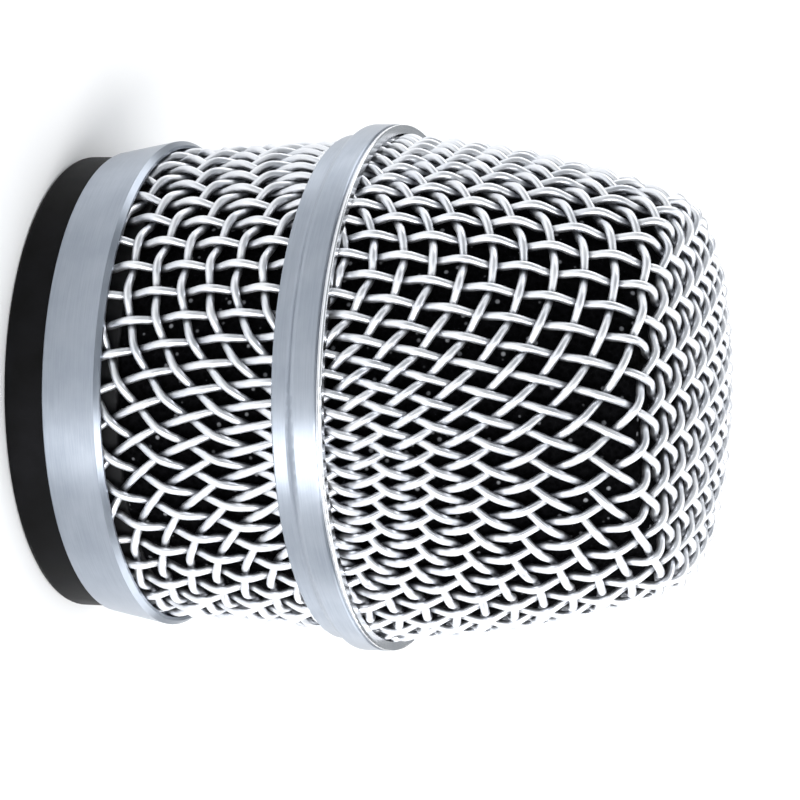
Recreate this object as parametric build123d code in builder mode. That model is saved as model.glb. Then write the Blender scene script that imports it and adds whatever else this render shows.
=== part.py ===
from build123d import *
import math
import os

# Screw-on grille head of a handheld vocal microphone, which is its built-in pop filter.
# Units are millimetres. Every piece is round about +Z; Z = 0 is the flat end of the neck ring,
# and the woven front cup is at the top. Radii and heights below are read as (r, z) pairs.

# ---- driving dimensions ----------------------------------------------------------------
BAND_R = 25.5  # mid band, the widest piece
NECK_R = 22.2  # neck ring, outside
NECK_H = 4.0  # neck ring, end face to shoulder
BORE_R = 17.0  # clear bore through the neck ring
WIRE_D = 0.8  # wire of the woven mesh
MESH_T = 2 * WIRE_D  # woven sheet: two wires thick where they cross
TURN_PITCH = 1.25  # pitch of the head's screw thread
THREAD_R = 19.4  # outside of the neck's threaded spigot
THREAD_FIT = 0.07  # radial running clearance in the thread bush
SPIGOT_H = 4.8  # spigot above the shoulder
SLIT = 0.1  # gap that is left under the collar when the head is screwed home
MESH_FIT = 0.05  # radial gap outside the mesh, in the collar and the band
SEAT_FIT = 0.04  # radial gap inside the mesh, round the rings that pin its hems

# Base collar: a slightly flared ring
COLLAR_Z0 = NECK_H + SLIT
COLLAR_Z1 = NECK_H + 6.2
COLLAR_R0 = 22.7
COLLAR_R1 = 23.9
COLLAR_LIP = 0.5  # bevel round the collar's upper edge
COLLAR_FOOT_ROUND = 0.2
BUSH_R = 21.9  # thread bush outside, collar inside
BUSH_CHAMFER = 0.3
WASHER_H = 0.8
BUSH_Z0 = NECK_H + WASHER_H
HEM_Z = NECK_H + 4.4  # ledge in the collar that the rear mesh stands on
HEM_R = 22.95  # rear mesh outside at that ledge

# Mid band: a short skirt, an S-shaped step and the main rim
BAND_Z0 = 27.4
BAND_Z1 = 32.6
SKIRT_R = 24.45
SKIRT_Z = 28.75  # end of the skirt, start of the step
RIM_Z = 29.95  # end of the step, start of the rim
REAR_TOP_R = 24.0  # rear mesh outside, under the band
REAR_TOP_Z = 29.6
SHELF_Z = 29.9  # ledge in the band that the front mesh stands on
LIP_H = 0.42  # rolled lip ring at the band's front edge
LIP_GROOVE = 0.12
LIP_GROOVE_DEPTH = 0.25
LIP_INSET = 0.02  # the lip stands this far inside the rim
LIP_ROUND = 0.42  # fillet of the lip's two edges, as a share of its height
SKIRT_ROUND = 0.15
RIM_ROUND = 0.2

# Front cup, outer surface: a barrelled side, a round corner and a shallow dome
CUP_R = 24.6  # radius where it leaves the band
SIDE_H = 28.4  # band to the corner of side and dome
CORNER_R = 18.5  # radius of that corner before it is rounded
SIDE_BULGE = 1.15  # how far the side stands out from a straight cone
DOME_RISE = 2.4
CORNER_ROUND = 3.6

# Foam
FOAM_GAP = 0.1  # foam to mesh
FOAM_T = 3.0
FOAM_CORNER_ROUND = 0.6  # least rounding of the foam's inner corner
HOOP_T = 0.8
HOOP_H = 8.0
HOOP_MIDDLE_Z = 30.2
HOOP_ROUND = 0.25

# ---- derived shape of the front cup ------------------------------------------------------
# The side is an arc through three points and the dome is an arc centred on the axis. A surface
# at a given depth inside the cup has the same two centres and radii smaller by that depth.
CUP_TOP_Z = BAND_Z1 + SIDE_H + DOME_RISE
DOME_ARC_R = (CORNER_R**2 + DOME_RISE**2) / (2 * DOME_RISE)
DOME_CENTRE_Z = CUP_TOP_Z - DOME_ARC_R
SIDE_CHORD = math.hypot(CUP_R - CORNER_R, SIDE_H)
SIDE_ARC_R = (SIDE_CHORD**2 / 4 + SIDE_BULGE**2) / (2 * SIDE_BULGE)
SIDE_CENTRE_R = (CUP_R + CORNER_R) / 2 - (SIDE_ARC_R - SIDE_BULGE) * SIDE_H / SIDE_CHORD
SIDE_CENTRE_Z = BAND_Z1 + SIDE_H / 2 - (SIDE_ARC_R - SIDE_BULGE) * (CUP_R - CORNER_R) / SIDE_CHORD


def side_r(z, depth):
    """Radius of the cup's side at height z, a given depth inside its outer surface."""
    return SIDE_CENTRE_R + math.sqrt((SIDE_ARC_R - depth) ** 2 - (z - SIDE_CENTRE_Z) ** 2)


def dome_z(r, depth):
    """Height of the cup's dome at radius r, a given depth inside its outer surface."""
    return DOME_CENTRE_Z + math.sqrt((DOME_ARC_R - depth) ** 2 - r**2)


def corner_point(depth):
    """Where the side and the dome meet, a given depth inside the outer surface."""
    r = CORNER_R - depth
    for _ in range(60):
        r = side_r(dome_z(r, depth), depth)
    return (r, dome_z(r, depth))


def cup_region(depth, foot_z):
    """Half section, x as radius and y as height, of all inside the cup's surface at a depth."""
    corner = corner_point(depth)
    foot = (side_r(BAND_Z1, depth), BAND_Z1)
    middle_z = (foot[1] + corner[1]) / 2
    side_middle = (side_r(middle_z, depth), middle_z)
    dome_middle = (corner[0] / 2, dome_z(corner[0] / 2, depth))
    with BuildSketch() as region:
        with BuildLine():
            Line((foot[0], foot_z), foot)
            ThreePointArc(foot, side_middle, corner)
            ThreePointArc(corner, dome_middle, (0, dome_z(0, depth)))
            Line((0, dome_z(0, depth)), (0, foot_z))
            Line((0, foot_z), (foot[0], foot_z))
        make_face()
        corner_vertex = region.vertices().group_by(Axis.Y)[-2].sort_by(Axis.X)[-1]
        fillet(corner_vertex, max(CORNER_ROUND - depth, FOAM_CORNER_ROUND))
    return region.sketch


def rear_r(z):
    """Outside radius of the rear mesh: a plain cone from the collar to the band."""
    return HEM_R + (REAR_TOP_R - HEM_R) * (z - HEM_Z) / (BAND_Z0 - HEM_Z)


# ---- neck: stays on the microphone's handle ----------------------------------------------
SEAL_R0 = 20.3
SEAL_R1 = 21.3
SEAL_DEPTH = 0.8
RELIEF_R = 18.9  # thread relief at the foot of the spigot
RELIEF_H = 0.9
SPIGOT_Z = NECK_H + SPIGOT_H
BORE_CHAMFER = 0.4
FOOT_ROUND = 0.5
SPIGOT_CHAMFER = 0.5

with BuildPart() as neck_ring:
    with BuildSketch(Plane.XZ):
        with BuildLine():
            Polyline(
                (BORE_R, 0),
                (NECK_R, 0),
                (NECK_R, NECK_H),
                (SEAL_R1, NECK_H),
                (SEAL_R1, NECK_H - SEAL_DEPTH),
                (SEAL_R0, NECK_H - SEAL_DEPTH),
                (SEAL_R0, NECK_H),
                (RELIEF_R, NECK_H),
                (RELIEF_R, NECK_H + RELIEF_H),
                (THREAD_R, NECK_H + RELIEF_H),
                (THREAD_R, SPIGOT_Z),
                (BORE_R, SPIGOT_Z),
                close=True,
            )
        make_face()
    revolve(axis=Axis.Z)
    bottom_edges = neck_ring.edges().group_by(Axis.Z)[0].sort_by(SortBy.RADIUS)
    top_edges = neck_ring.edges().group_by(Axis.Z)[-1].sort_by(SortBy.RADIUS)
    chamfer(bottom_edges[0], BORE_CHAMFER)
    fillet(bottom_edges[-1], FOOT_ROUND)
    chamfer(top_edges[-1], SPIGOT_CHAMFER)
neck_ring.part.label = "neck_ring"

with BuildPart() as seal_ring:
    with BuildSketch(Plane.XY.offset(NECK_H - SEAL_DEPTH)):
        Circle(SEAL_R1)
        Circle(SEAL_R0, mode=Mode.SUBTRACT)
    extrude(amount=SEAL_DEPTH)
seal_ring.part.label = "seal_ring"

# ---- slip washer: rises with the head but does not turn -----------------------------------
WASHER_R0 = 19.9
WASHER_FOOT_R = 21.2
WASHER_FLANGE_R = 21.7
WASHER_FLANGE_Z = NECK_H + 0.5  # underside of the flange, just above the collar's bead

with BuildPart() as slip_washer:
    with BuildSketch(Plane.XZ):
        with BuildLine():
            Polyline(
                (WASHER_R0, NECK_H),
                (WASHER_FOOT_R, NECK_H),
                (WASHER_FOOT_R, WASHER_FLANGE_Z),
                (WASHER_FLANGE_R, WASHER_FLANGE_Z),
                (WASHER_FLANGE_R, BUSH_Z0),
                (WASHER_R0, BUSH_Z0),
                close=True,
            )
        make_face()
    revolve(axis=Axis.Z)
slip_washer.part.label = "slip_washer"

# ---- head: collar, thread bush and clamp ring ---------------------------------------------
BEAD_R = 21.4  # bead under the washer's flange that holds it captive
BEAD_Z = NECK_H + 0.4  # top of the bead

with BuildPart() as base_collar:
    with BuildSketch(Plane.XZ):
        with BuildLine():
            Polyline(
                (BEAD_R, COLLAR_Z0),
                (COLLAR_R0, COLLAR_Z0),
                (COLLAR_R1, COLLAR_Z1),
                (rear_r(COLLAR_Z1) + MESH_FIT, COLLAR_Z1),
                (HEM_R, HEM_Z),
                (BUSH_R, HEM_Z),
                (BUSH_R, BEAD_Z),
                (BEAD_R, BEAD_Z),
                close=True,
            )
        make_face()
    revolve(axis=Axis.Z)
    lower_rim = base_collar.edges().group_by(Axis.Z)[0].sort_by(SortBy.RADIUS)[-1]
    upper_rim = base_collar.edges().group_by(Axis.Z)[-1].sort_by(SortBy.RADIUS)[-1]
    fillet(lower_rim, COLLAR_FOOT_ROUND)
    chamfer(upper_rim, COLLAR_LIP)
base_collar.part.label = "base_collar"

with BuildPart() as thread_bush:
    with BuildSketch(Plane.XY.offset(BUSH_Z0)):
        Circle(BUSH_R)
        Circle(THREAD_R + THREAD_FIT, mode=Mode.SUBTRACT)
    extrude(amount=HEM_Z - BUSH_Z0)
    bore_edges = thread_bush.edges().filter_by(GeomType.CIRCLE).group_by(SortBy.RADIUS)[0]
    chamfer(bore_edges, BUSH_CHAMFER)
thread_bush.part.label = "thread_bush"

CLAMP_R0 = 20.6
CLAMP_R1 = rear_r(HEM_Z) - MESH_T - SEAT_FIT
CLAMP_H = 2.8
CLAMP_ROUND = 0.3

with BuildPart() as rear_clamp_ring:
    with BuildSketch(Plane.XY.offset(HEM_Z)):
        Circle(CLAMP_R1)
        Circle(CLAMP_R0, mode=Mode.SUBTRACT)
    extrude(amount=CLAMP_H)
    fillet(rear_clamp_ring.edges().group_by(Axis.Z)[-1], CLAMP_ROUND)
rear_clamp_ring.part.label = "rear_clamp_ring"

# ---- head: rear mesh barrel ----------------------------------------------------------------
with BuildPart() as rear_mesh:
    with BuildSketch(Plane.XZ):
        with BuildLine():
            Polyline(
                (rear_r(HEM_Z) - MESH_T, HEM_Z),
                (rear_r(HEM_Z), HEM_Z),
                (REAR_TOP_R, BAND_Z0),
                (REAR_TOP_R, REAR_TOP_Z),
                (REAR_TOP_R - MESH_T, REAR_TOP_Z),
                (REAR_TOP_R - MESH_T, BAND_Z0),
                close=True,
            )
        make_face()
    revolve(axis=Axis.Z)
rear_mesh.part.label = "rear_mesh"

# ---- head: mid band, its lip ring and its inner ring ----------------------------------------
SKIRT_BORE_R = REAR_TOP_R + MESH_FIT
RIM_TOP_Z = BAND_Z1 - LIP_H - LIP_GROOVE
STEP_MIDDLE = ((SKIRT_R + BAND_R) / 2, (SKIRT_Z + RIM_Z) / 2)

with BuildPart() as mid_band:
    with BuildSketch(Plane.XZ):
        with BuildLine():
            Line((SKIRT_BORE_R, BAND_Z0), (SKIRT_R, BAND_Z0))
            Line((SKIRT_R, BAND_Z0), (SKIRT_R, SKIRT_Z))
            foot_arc = TangentArc((SKIRT_R, SKIRT_Z), STEP_MIDDLE, tangent=(0, 1))
            TangentArc(STEP_MIDDLE, (BAND_R, RIM_Z), tangent=foot_arc % 1)
            Line((BAND_R, RIM_Z), (BAND_R, RIM_TOP_Z))
            Line((BAND_R, RIM_TOP_Z), (CUP_R, RIM_TOP_Z))
            Line((CUP_R, RIM_TOP_Z), (CUP_R, SHELF_Z))
            Line((CUP_R, SHELF_Z), (SKIRT_BORE_R, SHELF_Z))
            Line((SKIRT_BORE_R, SHELF_Z), (SKIRT_BORE_R, BAND_Z0))
        make_face()
    revolve(axis=Axis.Z)
    skirt_rim = mid_band.edges().group_by(Axis.Z)[0].sort_by(SortBy.RADIUS)[-1]
    fillet(skirt_rim, SKIRT_ROUND)
    rim_edge = mid_band.edges().group_by(Axis.Z)[-1].sort_by(SortBy.RADIUS)[-1]
    fillet(rim_edge, RIM_ROUND)
mid_band.part.label = "mid_band"

with BuildPart() as band_lip_ring:
    with BuildSketch(Plane.XY.offset(RIM_TOP_Z)):
        Circle(BAND_R - LIP_GROOVE_DEPTH)
        Circle(CUP_R, mode=Mode.SUBTRACT)
    extrude(amount=LIP_GROOVE)
    with BuildSketch(Plane.XY.offset(RIM_TOP_Z + LIP_GROOVE)):
        Circle(BAND_R - LIP_INSET)
        Circle(CUP_R, mode=Mode.SUBTRACT)
    extrude(amount=LIP_H)
    lip_edges = band_lip_ring.edges().filter_by(GeomType.CIRCLE).group_by(SortBy.RADIUS)[-1]
    fillet(lip_edges, LIP_H * LIP_ROUND)
band_lip_ring.part.label = "band_lip_ring"

INNER_R = 21.7
REAR_SEAT_R = REAR_TOP_R - MESH_T - SEAT_FIT
FRONT_SEAT_R = side_r(BAND_Z1, MESH_T) - SEAT_FIT
INNER_Z0 = 27.8
INNER_STEP_Z = 29.8
INNER_Z1 = 32.2

with BuildPart() as band_inner_ring:
    with BuildSketch(Plane.XY.offset(INNER_Z0)):
        Circle(REAR_SEAT_R)
        Circle(INNER_R, mode=Mode.SUBTRACT)
    extrude(amount=INNER_STEP_Z - INNER_Z0)
    with BuildSketch(Plane.XY.offset(INNER_STEP_Z)):
        Circle(FRONT_SEAT_R)
        Circle(INNER_R, mode=Mode.SUBTRACT)
    extrude(amount=INNER_Z1 - INNER_STEP_Z)
band_inner_ring.part.label = "band_inner_ring"

# ---- head: front mesh cup --------------------------------------------------------------------
mesh_outside = cup_region(0, SHELF_Z)
mesh_inside = cup_region(MESH_T, SHELF_Z)

with BuildPart() as front_mesh:
    with BuildSketch(Plane.XZ):
        add(mesh_outside)
        add(mesh_inside, mode=Mode.SUBTRACT)
    revolve(axis=Axis.Z)
front_mesh.part.label = "front_mesh"

# ---- head: foam liners and the hoop that holds their edges ------------------------------------
FOAM_DEPTH = MESH_T + FOAM_GAP
HOOP_Z0 = HOOP_MIDDLE_Z - HOOP_H / 2
HOOP_R = side_r(HOOP_Z0 + HOOP_H, FOAM_DEPTH + FOAM_T)
REAR_FOAM_Z0 = HEM_Z + CLAMP_H + FOAM_GAP

foam_outside = cup_region(FOAM_DEPTH, INNER_Z1)
foam_inside = cup_region(FOAM_DEPTH + FOAM_T, INNER_Z1)

with BuildPart() as front_foam:
    with BuildSketch(Plane.XZ):
        add(foam_outside)
        add(foam_inside, mode=Mode.SUBTRACT)
    revolve(axis=Axis.Z)
front_foam.part.label = "front_foam"

with BuildPart() as rear_foam:
    with BuildSketch(Plane.XZ):
        with BuildLine():
            Polyline(
                (HOOP_R, REAR_FOAM_Z0),
                (rear_r(REAR_FOAM_Z0) - FOAM_DEPTH, REAR_FOAM_Z0),
                (rear_r(INNER_Z0) - FOAM_DEPTH, INNER_Z0),
                (HOOP_R, INNER_Z0),
                close=True,
            )
        make_face()
    revolve(axis=Axis.Z)
rear_foam.part.label = "rear_foam"

with BuildPart() as foam_hoop:
    with BuildSketch(Plane.XY.offset(HOOP_Z0)):
        Circle(HOOP_R)
        Circle(HOOP_R - HOOP_T, mode=Mode.SUBTRACT)
    extrude(amount=HOOP_H)
    fillet(foam_hoop.edges().filter_by(GeomType.CIRCLE), HOOP_ROUND)
foam_hoop.part.label = "foam_hoop"

# ---- write one STEP file per piece ---------------------------------------------------------
pieces = [
    neck_ring,
    seal_ring,
    slip_washer,
    base_collar,
    thread_bush,
    rear_clamp_ring,
    rear_mesh,
    mid_band,
    band_lip_ring,
    band_inner_ring,
    front_mesh,
    front_foam,
    rear_foam,
    foam_hoop,
]
os.makedirs("parts", exist_ok=True)
for piece in pieces:
    export_step(piece.part, f"parts/{piece.part.label}.step")
print(f"thread pitch {TURN_PITCH} mm, cup top at {CUP_TOP_Z:.2f} mm")
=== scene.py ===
"""The looks of a microphone head whose woven grille and foam are its pop filter."""
import math

import bpy
import numpy as np
from mathutils import Matrix, Vector


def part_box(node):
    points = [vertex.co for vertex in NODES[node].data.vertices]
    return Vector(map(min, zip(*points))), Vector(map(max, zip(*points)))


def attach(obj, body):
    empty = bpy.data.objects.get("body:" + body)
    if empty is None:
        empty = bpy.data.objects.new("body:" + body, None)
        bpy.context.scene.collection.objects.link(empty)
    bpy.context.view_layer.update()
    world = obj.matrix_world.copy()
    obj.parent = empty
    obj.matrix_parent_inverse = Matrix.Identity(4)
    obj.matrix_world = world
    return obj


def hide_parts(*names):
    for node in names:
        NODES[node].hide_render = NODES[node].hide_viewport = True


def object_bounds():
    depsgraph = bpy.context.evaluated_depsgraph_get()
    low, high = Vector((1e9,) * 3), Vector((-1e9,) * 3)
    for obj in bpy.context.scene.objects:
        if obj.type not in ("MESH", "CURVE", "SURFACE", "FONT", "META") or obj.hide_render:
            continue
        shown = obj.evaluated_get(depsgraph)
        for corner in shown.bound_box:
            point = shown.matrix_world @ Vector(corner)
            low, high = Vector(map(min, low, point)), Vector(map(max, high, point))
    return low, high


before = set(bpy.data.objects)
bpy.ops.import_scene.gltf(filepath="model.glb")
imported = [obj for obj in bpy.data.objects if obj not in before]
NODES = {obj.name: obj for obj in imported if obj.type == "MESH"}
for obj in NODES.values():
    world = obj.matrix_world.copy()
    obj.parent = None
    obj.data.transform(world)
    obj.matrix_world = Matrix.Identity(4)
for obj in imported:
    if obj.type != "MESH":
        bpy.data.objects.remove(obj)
CAD_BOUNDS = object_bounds()

MM = 0.001
SEED = 7
TINY = 1e-9  # keeps a division safe

# Where the frame puts things, in millimetres
BAND_FRONT_Z = max(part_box("mid_band")[1].z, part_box("band_lip_ring")[1].z) / MM
CUP_TOP_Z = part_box("front_mesh")[1].z / MM
HOOP_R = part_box("foam_hoop")[1].x / MM
FLOOR_Z = CAD_BOUNDS[0][2]

# Front cup, outside of the mesh, in millimetres
CUP_R = 24.6
SIDE_H = 28.4
CORNER_R = 18.5
SIDE_BULGE = 1.15
DOME_RISE = 2.4
CORNER_ROUND = 3.6
FOAM_CORNER_ROUND = 0.6
FRONT_HEM_Z = 29.9

# Rear barrel, outside of the mesh, in millimetres
REAR_HEM_Z = 8.5
REAR_HEM_R = 22.95
REAR_TOP_Z = 29.5
REAR_TOP_R = 24.0
REAR_TAPER_Z = 27.4

# Wire and foam, in millimetres
WIRE_D = 0.8
CRIMP = 0.54  # how far a wire swings each way, in wire diameters
MESH_T = 2 * WIRE_D
FOAM_GAP = 0.1
FOAM_T = 3.0
REAR_FOAM_Z0 = 11.3
REAR_FOAM_Z1 = 27.8
FRONT_FOAM_Z0 = 32.2


# ---------------------------------------------------------------- camera

VIEW_TILT = math.radians(17.23)
VIEW_ROLL = math.radians(-1.32)
VIEW_DISTANCE = 387.66 * MM
VIEW_OFFSET = (0.38 * MM, 1.18 * MM)
LENS = 180
SENSOR = 36
NEAR_CLIP = 0.01


def view_axes():
    """The camera's right, up and backward directions: the head's axis runs to the right."""
    near = Vector((0, -1, 0))
    axis = Vector((0, 0, 1))
    back = math.sin(VIEW_TILT) * axis + math.cos(VIEW_TILT) * near
    level_right = math.cos(VIEW_TILT) * axis - math.sin(VIEW_TILT) * near
    level_up = near.cross(axis)
    right = math.cos(VIEW_ROLL) * level_right - math.sin(VIEW_ROLL) * level_up
    up = math.sin(VIEW_ROLL) * level_right + math.cos(VIEW_ROLL) * level_up
    return right, up, back


def add_camera():
    """The camera looks past a point on the axis, level with the band's front edge."""
    right, up, back = view_axes()
    place = Vector((0, 0, BAND_FRONT_Z * MM)) + VIEW_DISTANCE * back
    place -= VIEW_OFFSET[0] * right + VIEW_OFFSET[1] * up
    data = bpy.data.cameras.new("camera")
    data.lens = LENS
    data.sensor_width = SENSOR
    data.clip_start = NEAR_CLIP
    camera = bpy.data.objects.new("camera", data)
    turn = Matrix((right, up, back)).transposed().to_4x4()
    camera.matrix_world = Matrix.Translation(place) @ turn
    bpy.context.scene.collection.objects.link(camera)
    bpy.context.scene.camera = camera


add_camera()


# ---------------------------------------------------------------- meshes

def add_mesh(name, points, faces):
    """A smooth mesh object from points in millimetres."""
    mesh = bpy.data.meshes.new(name)
    mesh.from_pydata((np.asarray(points) * MM).tolist(), [], faces)
    mesh.update()
    for polygon in mesh.polygons:
        polygon.use_smooth = True
    piece = bpy.data.objects.new(name, mesh)
    bpy.context.scene.collection.objects.link(piece)
    return piece


SIDE_STEPS = 160
DOME_STEPS = 120
CORNER_STEPS = 60


def arc_points(centre, radius, start, end, count):
    """Points along an arc, as (radius, height) pairs."""
    turn = np.linspace(start, end, count)
    return np.stack([centre[0] + radius * np.cos(turn), centre[1] + radius * np.sin(turn)], -1)


def with_arc(points):
    """A meridian as (distance along it, radius, height), from the pole outwards."""
    steps = np.hypot(*np.diff(points, axis=0).T)
    arc = np.concatenate([[0], np.cumsum(steps)])
    return arc, points[:, 0], points[:, 1]


def cup_meridian(depth, end_z):
    """The front cup's meridian at a depth under its outside: dome, corner, bowed side, hem."""
    dome_r = (CORNER_R ** 2 + DOME_RISE ** 2) / (2 * DOME_RISE)
    dome_centre = np.array([0, CUP_TOP_Z - dome_r])
    chord = math.hypot(CUP_R - CORNER_R, SIDE_H)
    side_r = (chord ** 2 / 4 + SIDE_BULGE ** 2) / (2 * SIDE_BULGE)
    inset = side_r - SIDE_BULGE
    middle = np.array([(CUP_R + CORNER_R) / 2, BAND_FRONT_Z + SIDE_H / 2])
    side_centre = middle - inset * np.array([SIDE_H, CUP_R - CORNER_R]) / chord
    corner = max(CORNER_ROUND - depth, FOAM_CORNER_ROUND)
    dome_reach = dome_r - depth - corner
    side_reach = side_r - depth - corner
    between = side_centre - dome_centre
    gap = np.linalg.norm(between)
    along = (dome_reach ** 2 - side_reach ** 2 + gap ** 2) / (2 * gap)
    across = math.sqrt(dome_reach ** 2 - along ** 2)
    unit = between / gap
    sideways = np.array([-unit[1], unit[0]])
    options = [dome_centre + along * unit + k * across * sideways for k in (1, -1)]
    centre = max(options, key=lambda p: (p[0] > 0, p[1]))
    dome_end = math.atan2(*(centre - dome_centre)[::-1])
    side_start = math.atan2(*(centre - side_centre)[::-1])
    side_end = math.asin((BAND_FRONT_Z - side_centre[1]) / (side_r - depth))
    side = arc_points(side_centre, side_r - depth, side_start, side_end, SIDE_STEPS)
    points = np.concatenate([
        arc_points(dome_centre, dome_r - depth, math.pi / 2, dome_end, DOME_STEPS),
        arc_points(centre, corner, dome_end, side_start, CORNER_STEPS)[1:],
        side[1:],
        [[side[-1, 0], end_z]],
    ])
    return with_arc(points)


def barrel_radius(height):
    """Outside radius of the rear mesh."""
    share = (np.minimum(height, REAR_TAPER_Z) - REAR_HEM_Z) / (REAR_TAPER_Z - REAR_HEM_Z)
    return REAR_HEM_R + (REAR_TOP_R - REAR_HEM_R) * share


# ---------------------------------------------------------------- woven wire

SAMPLES = 8
SIDES = 10
DIP_START = 0.45  # share of the swing inwards at which a wire starts to darken
DIP_END = 0.85
SHORTEST = 3  # samples of wire, below which a piece is left out
FINE_STEPS = 1200  # points of a meridian's lookup
SOLVER_ROUNDS = 30
SOLVER_STEP = 1e-4
SMALLEST_ARC = 1e-6
LONGEST_MOVE = 2.0  # of the distance, in one round, in millimetres
LARGEST_TURN = 0.15  # of the angle, in one round


def net_share(turn, bow, ripple):
    """How far a wire has got across the net, as a share, at an angle round the axis."""
    return (np.sin(turn) + bow * (np.sin(turn) + np.sin(3 * turn))
            + ripple * (np.sin(5 * turn) - np.sin(turn)))


def locate(across, along, pitch, bending):
    """Distance from the pole and angle of the point at (along, across) in the flat net.

    The wires stay a pitch apart along the four meridians that they follow, and shear into
    lozenges between them. Newton's method finds the point, one quadrant at a time.
    """
    sign_u = np.where(along < 0, -1, 1)
    sign_v = np.where(across < 0, -1, 1)
    u = np.abs(along)
    v = np.abs(across)
    arc = pitch * np.hypot(u, v)
    turn = np.arctan2(v, u)

    def miss(arc, turn):
        bow, ripple = bending(arc)
        return (arc / pitch * net_share(turn, bow, ripple) - v,
                arc / pitch * net_share(math.pi / 2 - turn, bow, ripple) - u)

    step = SOLVER_STEP
    for _ in range(SOLVER_ROUNDS):
        f, g = miss(arc, turn)
        f_s, g_s = miss(arc + step, turn)
        f_t, g_t = miss(arc, turn + step)
        a, b = (f_s - f) / step, (f_t - f) / step
        c, d = (g_s - g) / step, (g_t - g) / step
        det = a * d - b * c
        det = np.where(np.abs(det) < TINY, TINY, det)
        move = np.clip((d * f - b * g) / det, -LONGEST_MOVE, LONGEST_MOVE)
        swivel = np.clip((a * g - c * f) / det, -LARGEST_TURN, LARGEST_TURN)
        arc = np.maximum(arc - move, SMALLEST_ARC)
        turn = np.clip(turn - swivel, 0, math.pi / 2)
    return arc, np.arctan2(sign_v * np.sin(turn), sign_u * np.cos(turn))


def tube(path, normal, dip, radius, points, faces, dips):
    """Adds a closed round wire along a path, turned by the surface normal.

    dip says how far each point has dived under a crossing wire, from 0 to 1.
    """
    ahead = np.gradient(path, axis=0)
    ahead /= np.linalg.norm(ahead, axis=1, keepdims=True)
    side = np.cross(ahead, normal)
    side /= np.linalg.norm(side, axis=1, keepdims=True)
    out = np.cross(side, ahead)
    angles = np.arange(SIDES) * 2 * math.pi / SIDES
    ring = (out[:, None] * np.cos(angles)[:, None] + side[:, None] * np.sin(angles)[:, None])
    rings = path[:, None] + radius * ring
    start = len(points)
    points.extend(rings.reshape(-1, 3).tolist())
    dips.extend(np.repeat(dip, SIDES).tolist())
    last = len(path) - 1
    for k in range(last):
        a = start + k * SIDES
        for s in range(SIDES):
            t = (s + 1) % SIDES
            faces.append((a + s, a + t, a + SIDES + t, a + SIDES + s))
    faces.append(tuple(start + s for s in reversed(range(SIDES))))
    faces.append(tuple(start + last * SIDES + s for s in range(SIDES)))


def wires(name, surface, reach, limits, pitch, bending, offsets, twist, family, first_over):
    """One family of wires of a woven mesh, on a surface of revolution.

    surface gives position and normal from (distance, angle), limits the distances kept,
    offsets the place of the wires in the net, family says which of the two sets, and
    first_over is the family that lies outside where both wire numbers are even.
    """
    own, other = offsets if family == 0 else offsets[::-1]
    points, faces, dips = [], [], []
    count = int(reach / pitch) + 2
    fine = np.arange(-count * SAMPLES, count * SAMPLES + 1) / SAMPLES + other
    for k in range(-count, count + 1):
        across = np.full_like(fine, k + own)
        if family == 0:
            arc, turn = locate(across, fine, pitch, bending)
        else:
            arc, turn = locate(fine, across, pitch, bending)
        centre, normal = surface(arc, turn + twist)
        wave = np.cos(math.pi * (fine - other)) * (-1) ** k
        swing = wave * (1 if family == first_over else -1)
        path = centre + normal * (WIRE_D * CRIMP * swing)[:, None]
        dip = np.clip((-swing - DIP_START) / (DIP_END - DIP_START), 0, 1)
        kept = (arc >= limits[0]) & (arc <= limits[1])
        edges = np.flatnonzero(np.diff(np.concatenate([[0], kept.astype(int), [0]])))
        for begin, end in zip(edges[::2], edges[1::2]):
            if end - begin > SHORTEST:
                part = slice(begin, end)
                tube(path[part], normal[part], dip[part], WIRE_D / 2, points, faces, dips)
    piece = add_mesh(name, points, faces)
    layer = piece.data.attributes.new("dip", "FLOAT", "POINT")
    layer.data.foreach_set("value", dips)
    return piece


def on_meridian(meridian):
    """Position and outward normal on a surface of revolution, from (distance, angle)."""
    arc, radius, height = meridian
    fine = np.linspace(0, arc[-1], FINE_STEPS)
    r_fine = np.interp(fine, arc, radius)
    z_fine = np.interp(fine, arc, height)
    r_slope = np.gradient(r_fine, fine)
    z_slope = np.gradient(z_fine, fine)

    def surface(distance, turn):
        r = np.interp(distance, fine, r_fine)
        z = np.interp(distance, fine, z_fine)
        dr = np.interp(distance, fine, r_slope)
        dz = np.interp(distance, fine, z_slope)
        size = np.hypot(dr, dz)
        out_r, out_z = -dz / size, dr / size
        place = np.stack([r * np.cos(turn), r * np.sin(turn), z], -1)
        normal = np.stack([out_r * np.cos(turn), out_r * np.sin(turn), out_z], -1)
        return place, normal
    return surface


FRONT_PITCH = 2.7836
FRONT_TWIST = math.radians(-118)
FRONT_BEND_START = 18.28
FRONT_BEND_SPAN = 20.0
FRONT_BOW = -0.0687
FRONT_RIPPLE = -0.0056

REAR_PITCH = 2.666
REAR_POLE_Z = -10.9
REAR_TWIST = math.radians(-118.6)
REAR_BOW = -0.0393
REAR_BOW_SLOPE = -0.00464
REAR_BOW_Z = 18.0
REAR_RIPPLE = -0.0085


def front_bending(arc):
    """Bow and ripple of the front net: none over the dome, growing down the side."""
    t = np.clip((arc - FRONT_BEND_START) / FRONT_BEND_SPAN, 0, 1)
    ease = t * (2 - t)
    return FRONT_BOW * ease, FRONT_RIPPLE * ease


def rear_bending(arc):
    """Bow and ripple of the rear net: the bow changes evenly with height."""
    height = np.clip(arc + REAR_POLE_Z, REAR_HEM_Z, REAR_TOP_Z)
    return REAR_BOW + REAR_BOW_SLOPE * (height - REAR_BOW_Z), REAR_RIPPLE


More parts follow.
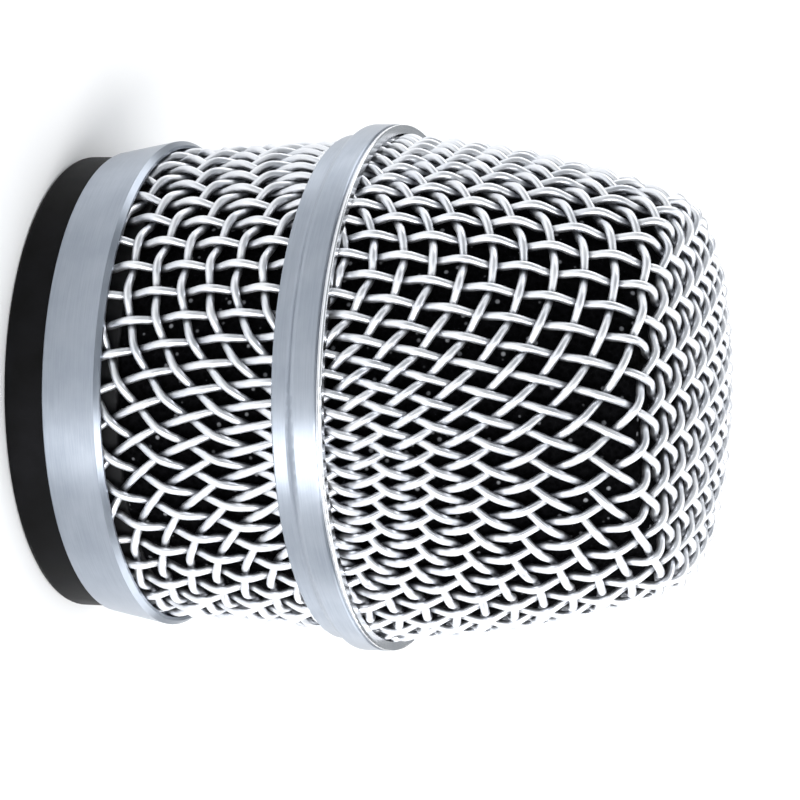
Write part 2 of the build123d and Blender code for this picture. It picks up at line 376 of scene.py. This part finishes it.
def rear_surface(distance, turn):
    """Position and normal on the barrel, from (distance above the net's pole, angle)."""
    z = distance + REAR_POLE_Z
    r = barrel_radius(z) - WIRE_D
    place = np.stack([r * np.cos(turn), r * np.sin(turn), z], -1)
    level = np.zeros_like(z)
    return place, np.stack([np.cos(turn), np.sin(turn), level], -1)


def weave_front():
    meridian = cup_meridian(WIRE_D, FRONT_HEM_Z)
    surface = on_meridian(meridian)
    reach = meridian[0][-1]
    made = []
    for family, word in enumerate(("warp", "weft")):
        made.append(wires(f"front_mesh_{word}", surface, reach, (0, reach), FRONT_PITCH,
                          front_bending, (0.5, 0.5), FRONT_TWIST, family, 1))
    return made


def weave_rear():
    limits = (REAR_HEM_Z - REAR_POLE_Z, REAR_TOP_Z - REAR_POLE_Z)
    made = []
    for family, word in enumerate(("warp", "weft")):
        made.append(wires(f"rear_mesh_{word}", rear_surface, limits[1], limits, REAR_PITCH,
                          rear_bending, (0.0, 0.5), REAR_TWIST, family, 0))
    return made


# ---------------------------------------------------------------- foam

FOAM_AROUND = 480
FOAM_STEP = 0.35
PORE = 0.85
FINE_PORE = 0.42
PORE_DEPTH = 0.10
FINE_PORE_DEPTH = 0.05
INNER_COARSER = 4  # the inside has this many times fewer rows
REAR_FOAM_ROWS = 50
HASH_AXES = np.array([[127.1, 269.5, 419.2], [311.7, 183.3, 371.9], [74.7, 246.1, 168.3]])
HASH_GAIN = 43758.5453
FAR = 9.0  # further apart than any two neighbours, in cells


def cell_noise(points, size, seed):
    """Rounded pits like open foam cells: distance to the nearest of jittered grid points."""
    cell = np.floor(points / size)
    best = np.full(len(points), FAR)
    for dx in (-1, 0, 1):
        for dy in (-1, 0, 1):
            for dz in (-1, 0, 1):
                corner = cell + (dx, dy, dz)
                jitter = np.sin(corner @ HASH_AXES + seed) * HASH_GAIN
                jitter -= np.floor(jitter)
                apart = np.linalg.norm(points / size - corner - jitter, axis=1)
                best = np.minimum(best, apart)
    return best


def spin(profile, around):
    """Points of an outline turned round the axis, row by row."""
    angles = np.arange(around) * 2 * math.pi / around
    return np.stack([
        profile[:, None, 0] * np.cos(angles),
        profile[:, None, 0] * np.sin(angles),
        np.repeat(profile[:, None, 1], around, 1),
    ], -1).reshape(-1, 3)


def resample(points, step):
    """The same outline with its points about a step apart."""
    arc, r, z = with_arc(points)
    count = max(2, int(arc[-1] / step) + 1)
    fine = np.linspace(0, arc[-1], count)
    return np.stack([np.interp(fine, arc, r), np.interp(fine, arc, z)], -1)


def foam_piece(name, outline, closed_at_pole):
    """A foam body of revolution with open cells pressed into its outside."""
    grid = spin(outline, FOAM_AROUND)
    rows = len(outline)
    pits = cell_noise(grid, PORE, SEED)
    fine = cell_noise(grid, FINE_PORE, SEED + 3)
    depth = PORE_DEPTH * np.clip(1 - pits, 0, 1) + FINE_PORE_DEPTH * np.clip(1 - fine, 0, 1)
    radial = grid * (1, 1, 0)
    radial /= np.maximum(np.linalg.norm(radial, axis=1, keepdims=True), TINY)
    turn_in = np.gradient(outline, axis=0)
    turn_in /= np.maximum(np.linalg.norm(turn_in, axis=1, keepdims=True), TINY)
    inward = np.stack([turn_in[:, 1], -turn_in[:, 0]], -1)
    inward = np.repeat(inward, FOAM_AROUND, 0)
    level = np.zeros_like(pits)
    shift = radial * inward[:, :1] + np.stack([level, level, inward[:, 1]], -1)
    grid = grid + shift * depth[:, None]
    faces = []
    for k in range(rows - 1 if closed_at_pole else rows):
        a = k * FOAM_AROUND
        b = ((k + 1) % rows) * FOAM_AROUND
        for s in range(FOAM_AROUND):
            t = (s + 1) % FOAM_AROUND
            faces.append((a + s, b + s, b + t, a + t))
    points = grid.tolist()
    if closed_at_pole:
        for row, way in ((0, 1), (rows - 1, -1)):
            centre = len(points)
            first = row * FOAM_AROUND
            points.append([0.0, 0.0, float(grid[first:first + FOAM_AROUND, 2].mean())])
            for s in range(FOAM_AROUND):
                t = (s + 1) % FOAM_AROUND
                a, b = first + s, first + t
                faces.append((centre, a, b) if way > 0 else (centre, b, a))
    return add_mesh(name, points, faces)


def make_front_foam():
    outer = cup_meridian(MESH_T + FOAM_GAP, FRONT_FOAM_Z0)
    inner = cup_meridian(MESH_T + FOAM_GAP + FOAM_T, FRONT_FOAM_Z0)
    out_line = resample(np.stack(outer[1:], -1)[1:], FOAM_STEP)
    in_line = resample(np.stack(inner[1:], -1)[1:], INNER_COARSER * FOAM_STEP)[::-1]
    return foam_piece("front_foam_cells", np.concatenate([out_line, in_line]), True)


def make_rear_foam():
    heights = np.linspace(REAR_FOAM_Z1, REAR_FOAM_Z0, REAR_FOAM_ROWS)
    outer = np.stack([barrel_radius(heights) - MESH_T - FOAM_GAP, heights], -1)
    inner = np.stack([np.full(len(heights), HOOP_R), heights], -1)[::-1][::INNER_COARSER]
    return foam_piece("rear_foam_cells", np.concatenate([outer, inner]), False)


# ---------------------------------------------------------------- threads

THREAD_PITCH = 1.25
THREAD_ROOT_R = 19.25
THREAD_CREST_R = 19.65
THREAD_START_Z = 5.5
THREAD_TURNS = 2.1
THREAD_WIDTH = 0.9  # of the pitch
THREAD_STEPS = 120  # in a turn
THREAD_FADE = 0.6  # radians over which an end runs out
THREAD_SECTION = np.array([(-0.5, 0), (-0.2, 0.8), (0, 1), (0.2, 0.8), (0.5, 0)])


def thread_ridge(name, root, crest, start_z, turns):
    """A helical ridge with a rounded crest, running out at both ends."""
    steps = int(turns * THREAD_STEPS)
    angles = np.linspace(0, turns * 2 * math.pi, steps)
    fade = np.clip(np.minimum(angles, angles[-1] - angles) / THREAD_FADE, 0, 1)
    points = []
    for angle, share in zip(angles, fade):
        z0 = start_z + THREAD_PITCH * angle / (2 * math.pi)
        for dz, dr in THREAD_SECTION:
            r = root + (crest - root) * dr * share
            z = z0 + dz * THREAD_PITCH * THREAD_WIDTH
            points.append((r * math.cos(angle), r * math.sin(angle), z))
    wide = len(THREAD_SECTION)
    faces = []
    for k in range(steps - 1):
        for s in range(wide):
            t = (s + 1) % wide
            a, b = k * wide, (k + 1) * wide
            faces.append((a + s, b + s, b + t, a + t))
    faces.append(tuple(range(wide)))
    faces.append(tuple((steps - 1) * wide + s for s in reversed(range(wide))))
    return add_mesh(name, points, faces)


# ---------------------------------------------------------------- materials

def new_material(name, colour, metallic, roughness):
    """A material with its shader's own values set, and its node tree."""
    material = bpy.data.materials.new(name)
    material.use_nodes = True
    shader = material.node_tree.nodes["Principled BSDF"]
    shader.inputs["Base Color"].default_value = (*colour, 1)
    shader.inputs["Metallic"].default_value = metallic
    shader.inputs["Roughness"].default_value = roughness
    return material, material.node_tree, shader


def node(tree, kind, **values):
    made = tree.nodes.new(kind)
    for key, value in values.items():
        if key in made.inputs:
            made.inputs[key].default_value = value
        else:
            setattr(made, key, value)
    return made


def math_node(tree, operation, first, second=None):
    made = tree.nodes.new("ShaderNodeMath")
    made.operation = operation
    for socket, value in zip(made.inputs, (first, second)):
        if value is None:
            continue
        if isinstance(value, (int, float)):
            socket.default_value = value
        else:
            tree.links.new(value, socket)
    return made.outputs[0]


def plus(tree, first, second):
    return math_node(tree, "ADD", first, second)


def times(tree, first, second):
    return math_node(tree, "MULTIPLY", first, second)


def place_of(tree):
    return tree.nodes.new("ShaderNodeTexCoord").outputs["Object"]


def turned_place(tree, around, along):
    """Coordinates that change fast along the axis and the radius and slowly round it."""
    split = tree.nodes.new("ShaderNodeSeparateXYZ")
    tree.links.new(place_of(tree), split.inputs[0])
    x, y, z = split.outputs
    radius = math_node(tree, "SQRT", plus(tree, times(tree, x, x), times(tree, y, y)))
    level = plus(tree, z, times(tree, radius, RADIUS_SHARE))
    join = tree.nodes.new("ShaderNodeCombineXYZ")
    for index, side in enumerate((x, y)):
        direction = math_node(tree, "DIVIDE", side, radius)
        tree.links.new(times(tree, direction, around), join.inputs[index])
    tree.links.new(times(tree, level, along), join.inputs[2])
    return join.outputs[0]


def noise(tree, vector, scale, detail=3.0, rough=0.5):
    made = node(tree, "ShaderNodeTexNoise", Scale=scale, Detail=detail, Roughness=rough)
    tree.links.new(vector, made.inputs["Vector"])
    return made.outputs["Fac"]


def spread(tree, value, low, high, start=0.3, end=0.7):
    """A value from a noise, spread over low to high."""
    made = node(tree, "ShaderNodeMapRange")
    tree.links.new(value, made.inputs["Value"])
    made.inputs["From Min"].default_value = start
    made.inputs["From Max"].default_value = end
    made.inputs["To Min"].default_value = low
    made.inputs["To Max"].default_value = high
    return made.outputs["Result"]


def blend_colours(tree, share, first, second):
    """From the first colour to the second; the first can be another blend."""
    made = tree.nodes.new("ShaderNodeMix")
    made.data_type = "RGBA"
    tree.links.new(share, made.inputs["Factor"])
    if isinstance(first, tuple):
        made.inputs["A"].default_value = (*first, 1)
    else:
        tree.links.new(first, made.inputs["A"])
    made.inputs["B"].default_value = (*second, 1)
    return made.outputs["Result"]


def feed(tree, shader, name, value):
    tree.links.new(value, shader.inputs[name])


def bump(tree, shader, height, distance):
    made = node(tree, "ShaderNodeBump", Strength=1.0, Distance=distance)
    tree.links.new(height, made.inputs["Height"])
    feed(tree, shader, "Normal", made.outputs["Normal"])


# Scales of the textures, in features a metre, unless a comment says otherwise
RING_SCALE = 9000.0
RING_WANDER = 6.0  # change of the turned rings once round
RADIUS_SHARE = 0.7  # of the height's, so that flat faces have rings too
METAL_GRAIN_SCALE = 9000.0
METAL_MOTTLE_SCALE = 220.0
DIE_LINE_SCALE = 5200.0
WIRE_PATCH_SCALE = 420.0
FOAM_PIT_SCALE = 1900.0
FOAM_GLINT_SCALE = 680.0
COAT_MOTTLE_SCALE = 260.0
FLOOR_SCALE = 60.0

GRAIN_SHARE = 0.7  # of the rings' height
ACROSS_THE_RINGS = 0.25  # of a full turn
# Painted shade on the wires where they dive under a crossing wire: how strong it is, and its
# colour
WIRE_CROSSING_SHADE = 0.85  # how much of a wire's colour is lost under a crossing
WIRE_CROSSING_SHADE_COLOUR = (0.03, 0.035, 0.05)
# Grey of the painted glints on the foam
GLINT_COLOUR = (0.24, 0.245, 0.26)


def turned_metal(name, low, high, rough_low, rough_high, groove, streak=0.0):
    """Metal turned on a lathe and satin finished: fine rings, a slight mottle."""
    material, tree, shader = new_material(name, high, 1.0, rough_low)
    rings = noise(tree, turned_place(tree, RING_WANDER, RING_SCALE), 1.0, 3.0, 0.6)
    grain = noise(tree, place_of(tree), METAL_GRAIN_SCALE, 2.0, 0.6)
    mottle = noise(tree, place_of(tree), METAL_MOTTLE_SCALE, 3.0, 0.55)
    tint = plus(tree, times(tree, rings, 0.5), times(tree, mottle, 0.5))
    share = spread(tree, tint, 0, 1, 0.38, 0.62)
    feed(tree, shader, "Base Color", blend_colours(tree, share, low, high))
    feed(tree, shader, "Roughness", spread(tree, tint, rough_low, rough_high))
    bump(tree, shader, plus(tree, rings, times(tree, grain, GRAIN_SHARE)), groove)
    shader.inputs["Anisotropic"].default_value = streak
    shader.inputs["Anisotropic Rotation"].default_value = ACROSS_THE_RINGS
    return material


def drawn_wire(name):
    """Bright drawn wire, with faint die lines, duller patches and painted shade where it dives
    under the crossings.
    """
    material, tree, shader = new_material(name, (0.86, 0.87, 0.89), 1.0, 0.24)
    lines = noise(tree, place_of(tree), DIE_LINE_SCALE, 3.0, 0.6)
    patches = noise(tree, place_of(tree), WIRE_PATCH_SCALE, 2.0, 0.5)
    share = spread(tree, patches, 0, 1)
    bright = blend_colours(tree, share, (0.70, 0.72, 0.76), (0.82, 0.83, 0.85))
    # painted shade: the wire's colour goes dark where it dives under a crossing wire
    dip = node(tree, "ShaderNodeAttribute", attribute_name="dip").outputs["Fac"]
    crossing_shade = times(tree, dip, WIRE_CROSSING_SHADE)
    feed(tree, shader, "Base Color", blend_colours(tree, crossing_shade, bright, WIRE_CROSSING_SHADE_COLOUR))
    feed(tree, shader, "Roughness", spread(tree, patches, 0.36, 0.50))
    bump(tree, shader, lines, 0.000012)
    return material


def open_foam(name):
    """Black open-cell foam: pits painted darker as shade, dull struts and a few painted glints
    where struts would catch the light.
    """
    material, tree, shader = new_material(name, (0.002, 0.002, 0.003), 0.0, 0.9)
    cells = node(tree, "ShaderNodeTexVoronoi", Scale=FOAM_PIT_SCALE)
    tree.links.new(place_of(tree), cells.inputs["Vector"])
    pits = cells.outputs["Distance"]
    glint_cells = node(tree, "ShaderNodeTexVoronoi", Scale=FOAM_GLINT_SCALE)
    tree.links.new(place_of(tree), glint_cells.inputs["Vector"])
    # painted highlights: grey glint specks put into the foam's colour
    glints = spread(tree, glint_cells.outputs["Distance"], 1, 0, 0.09, 0.18)
    # painted shade: the foam's colour is darker down in its pits than on the struts
    share = spread(tree, pits, 0, 1, 0.2, 0.7)
    black = blend_colours(tree, share, (0.0008, 0.0008, 0.001), (0.003, 0.003, 0.0035))
    feed(tree, shader, "Base Color", blend_colours(tree, glints, black, GLINT_COLOUR))
    feed(tree, shader, "Roughness", spread(tree, glints, 1.0, 0.7, 0, 1))
    shader.inputs["Specular IOR Level"].default_value = 0.03
    bump(tree, shader, pits, 0.0002)
    return material


def coated(name, low, high, rough_low, rough_high, size, depth, specular=0.5):
    """Paint, rubber or plastic with a fine surface of a given grain size."""
    material, tree, shader = new_material(name, high, 0.0, rough_low)
    grain = noise(tree, place_of(tree), size, 3.0, 0.6)
    mottle = noise(tree, place_of(tree), COAT_MOTTLE_SCALE, 3.0, 0.5)
    share = spread(tree, mottle, 0, 1)
    feed(tree, shader, "Base Color", blend_colours(tree, share, low, high))
    feed(tree, shader, "Roughness", spread(tree, mottle, rough_low, rough_high))
    shader.inputs["Specular IOR Level"].default_value = specular
    bump(tree, shader, grain, depth)
    return material


# Relief (groove, depth) is in metres
MATERIALS = {
    "satin": turned_metal(
        "satin_silver_turned", low=(0.31, 0.345, 0.40), high=(0.39, 0.425, 0.48),
        rough_low=0.34, rough_high=0.42, groove=0.000005, streak=0.85),
    "bright": turned_metal(
        "bright_lip_polished", low=(0.70, 0.72, 0.75), high=(0.80, 0.81, 0.83),
        rough_low=0.20, rough_high=0.28, groove=0.000003, streak=0.6),
    "brass": turned_metal(
        "plated_brass_turned", low=(0.62, 0.54, 0.36), high=(0.78, 0.70, 0.50),
        rough_low=0.22, rough_high=0.34, groove=0.000008),
    "black_steel": coated(
        "black_steel_matt", low=(0.006, 0.006, 0.007), high=(0.012, 0.012, 0.013),
        rough_low=0.55, rough_high=0.70, size=5200.0, depth=0.00001, specular=0.2),
    "wire": drawn_wire("mesh_wire_drawn"),
    "foam": open_foam("black_foam_open_cell"),
    "neck": coated(
        "black_neck_satin", low=(0.003, 0.003, 0.003), high=(0.006, 0.006, 0.007),
        rough_low=0.42, rough_high=0.52, size=6500.0, depth=0.00001, specular=0.06),
    "rubber": coated(
        "black_rubber_matt", low=(0.010, 0.010, 0.010), high=(0.022, 0.021, 0.020),
        rough_low=0.60, rough_high=0.80, size=4000.0, depth=0.00003, specular=0.35),
    "nylon": coated(
        "white_nylon_moulded", low=(0.70, 0.70, 0.66), high=(0.80, 0.80, 0.76),
        rough_low=0.38, rough_high=0.50, size=3000.0, depth=0.00002),
    "plastic": coated(
        "black_plastic_moulded", low=(0.014, 0.014, 0.015), high=(0.026, 0.026, 0.027),
        rough_low=0.40, rough_high=0.52, size=5000.0, depth=0.00002),
}

FINISHES = {
    "neck_ring": "neck",
    "seal_ring": "rubber",
    "slip_washer": "nylon",
    "base_collar": "satin",
    "thread_bush": "brass",
    "rear_clamp_ring": "black_steel",
    "mid_band": "satin",
    "band_lip_ring": "bright",
    "band_inner_ring": "black_steel",
    "foam_hoop": "plastic",
}


def dress(piece, finish):
    """Gives every material slot of a piece the one finish."""
    if not piece.data.materials:
        piece.data.materials.append(MATERIALS[finish])
    for index in range(len(piece.material_slots)):
        piece.material_slots[index].material = MATERIALS[finish]


for cad_name, finish_name in FINISHES.items():
    dress(NODES[cad_name], finish_name)


# ---------------------------------------------------------------- pieces

for piece in weave_front():
    dress(piece, "wire")
    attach(piece, "head")
    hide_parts("front_mesh")

for piece in weave_rear():
    dress(piece, "wire")
    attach(piece, "head")
    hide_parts("rear_mesh")

front_foam = make_front_foam()
dress(front_foam, "foam")
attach(front_foam, "head")
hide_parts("front_foam")

rear_foam = make_rear_foam()
dress(rear_foam, "foam")
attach(rear_foam, "head")
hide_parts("rear_foam")

neck_thread = thread_ridge("neck_thread", THREAD_ROOT_R, THREAD_CREST_R,
                           THREAD_START_Z, THREAD_TURNS)
dress(neck_thread, "neck")
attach(neck_thread, "neck")


# ---------------------------------------------------------------- floor and light

FLOOR_SIZE = 12
WORLD_COLOUR = (0.92, 0.96, 1.0)
WORLD_STRENGTH = 0.42
LIGHT_AIM = (0, 0, 0.035)
LIGHTS = (  # name, place and size in metres, power in watts
    ("top", (0.1, 0.25, 0.9), (1.2, 1.2), 7.8),
    ("key", (0.26, -0.42, 0.2), (0.22, 0.4), 2.8),
    ("rim", (-0.47, 0.17, 0.22), (0.3, 0.4), 1.0),
    ("fill", (0.44, 0.20, 0.2), (0.4, 0.4), 1.2),
)


def add_floor():
    bpy.ops.mesh.primitive_plane_add(size=FLOOR_SIZE, location=(0, 0, FLOOR_Z))
    floor = bpy.context.object
    floor.name = "floor"
    material, tree, shader = new_material("pale_floor", (0.93, 0.93, 0.93), 0.0, 0.9)
    shader.inputs["Specular IOR Level"].default_value = 0.0
    grain = noise(tree, place_of(tree), FLOOR_SCALE, 2.0, 0.5)
    colour = blend_colours(tree, grain, (0.92, 0.92, 0.92), (0.94, 0.94, 0.94))
    feed(tree, shader, "Base Color", colour)
    floor.data.materials.append(material)


def add_area(name, place, size, power):
    """A soft rectangular light that faces the middle of the head."""
    data = bpy.data.lights.new(name, "AREA")
    data.shape = "RECTANGLE"
    data.size, data.size_y = size
    data.energy = power
    light = bpy.data.objects.new(name, data)
    back = (Vector(place) - Vector(LIGHT_AIM)).normalized()
    turn = back.to_track_quat("Z", "Y").to_matrix().to_4x4()
    light.matrix_world = Matrix.Translation(place) @ turn
    bpy.context.scene.collection.objects.link(light)


def add_light():
    world = bpy.data.worlds.new("studio")
    world.use_nodes = True
    background = world.node_tree.nodes["Background"]
    background.inputs["Color"].default_value = (*WORLD_COLOUR, 1)
    background.inputs["Strength"].default_value = WORLD_STRENGTH
    bpy.context.scene.world = world
    for name, place, size, power in LIGHTS:
        add_area(name, place, size, power)


add_floor()
add_light()
bpy.context.scene.view_settings.view_transform = "Standard"
